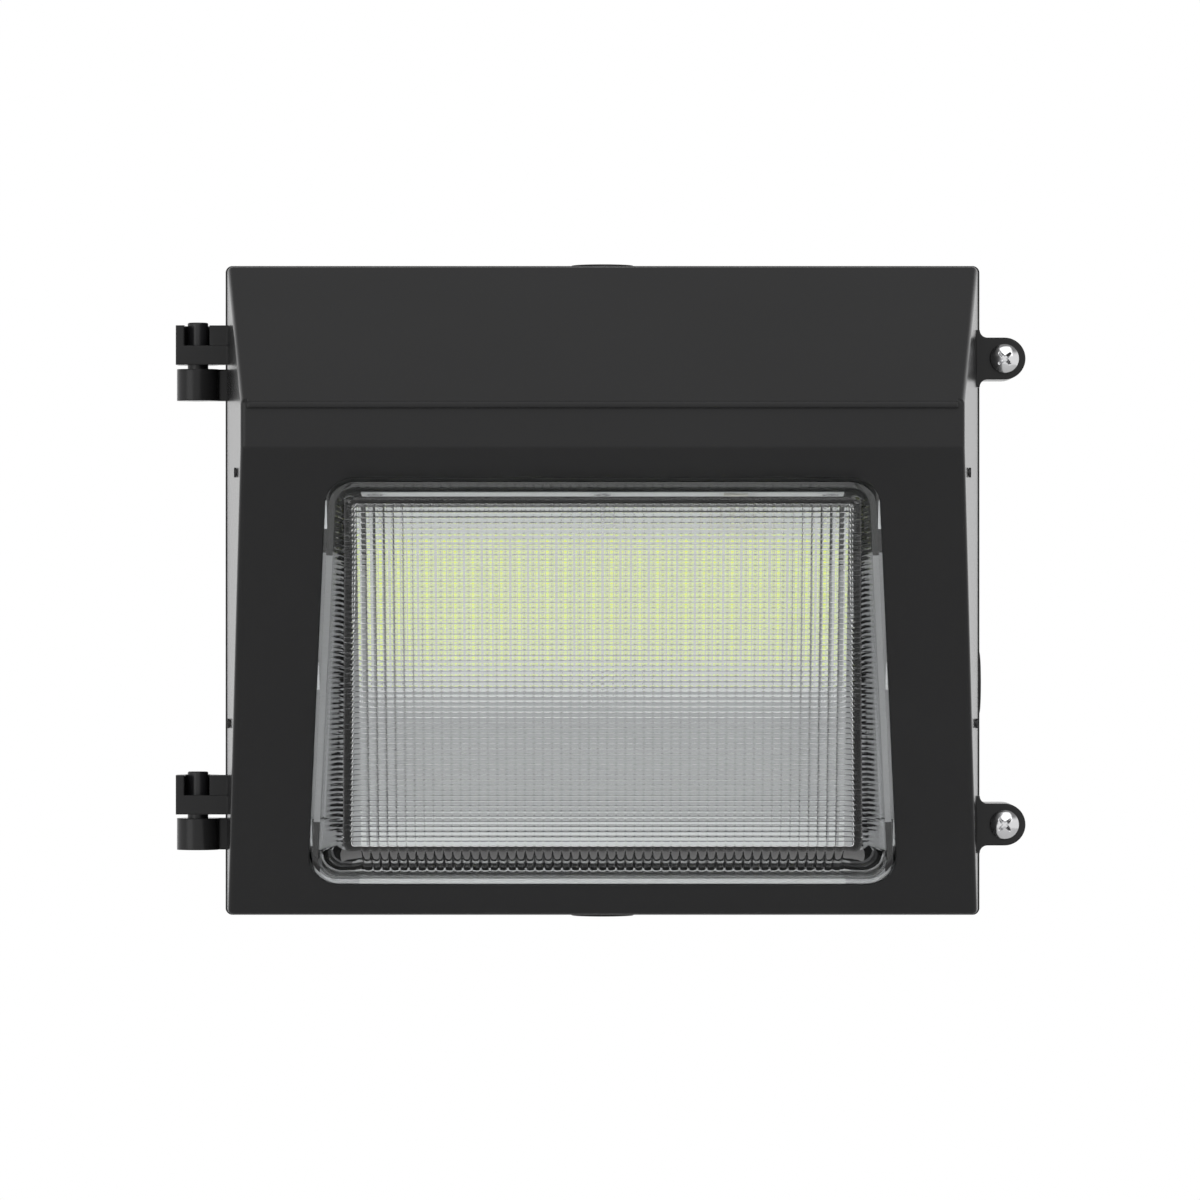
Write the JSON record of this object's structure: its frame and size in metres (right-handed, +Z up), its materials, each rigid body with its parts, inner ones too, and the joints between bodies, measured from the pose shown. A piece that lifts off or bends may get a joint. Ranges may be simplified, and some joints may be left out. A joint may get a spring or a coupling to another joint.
{
  "type": "wall pack light",
  "caption": "Wedge-shaped outdoor wall light: die-cast housing, hinged door with a ribbed clear lens over an LED board, captive closing screws and plugged conduit entries.",
  "frame": {"origin": "middle of the housing's back face, on the wall", "axes": "+Z up, +Y into the wall, the light's front faces -Y, +X to the viewer's right"},
  "size_m": [0.3709, 0.1895, 0.287],
  "materials": {
    "powder_coat": "satin black powder coat",
    "dark_steel": "black oxide",
    "black_plastic": "moulded nylon",
    "silicone": "matt silicone",
    "bare_aluminium": "brushed",
    "bright_steel": "zinc plated, bright",
    "green_steel": "green passivated",
    "pale_plastic": "moulded",
    "clear_lens": "clear, ribbed",
    "white_board": "white solder mask",
    "phosphor": "yellow phosphor"
  },
  "bodies": {
    "housing": {"rear_housing": "powder_coat", "hinge_pin_upper": "dark_steel", "hinge_pin_lower": "dark_steel", "conduit_plug_top": "black_plastic", "conduit_plug_right": "black_plastic", "conduit_plug_bottom": "black_plastic", "plug_o_rings": "silicone", "led_driver": "bare_aluminium", "driver_screws": "bright_steel", "terminal_block": "pale_plastic", "terminal_screws": "bright_steel", "terminal_clamps": "bright_steel", "surge_protector": "pale_plastic", "surge_screws": "bright_steel", "ground_screw": "green_steel"},
    "door": {"front_door": "powder_coat", "door_gasket": "silicone", "lens": "clear_lens", "lens_gasket": "silicone", "lens_clips": "bright_steel", "clip_screws": "bright_steel", "led_tray": "bare_aluminium", "tray_screws": "dark_steel", "led_board": "white_board", "led_chips": "phosphor", "board_screws": "bright_steel", "board_connector": "pale_plastic"},
    "upper_screw": {"captive_screw_upper": "bright_steel", "captive_ring_upper": "bright_steel"},
    "lower_screw": {"captive_screw_lower": "bright_steel", "captive_ring_lower": "bright_steel"}
  },
  "joints": [
    {"name": "door_swing", "type": "hinge", "parent": "housing", "child": "door", "pos_m": [-0.1772, -0.05525, 0], "axis": [0, 0, -1], "range_deg": [0, 110]},
    {"name": "upper_screw_back_out", "type": "slide", "parent": "door", "child": "upper_screw", "axis": [0, -1, 0], "range_m": [0, 0.0085]},
    {"name": "lower_screw_back_out", "type": "slide", "parent": "door", "child": "lower_screw", "axis": [0, -1, 0], "range_m": [0, 0.0085]}
  ]
}
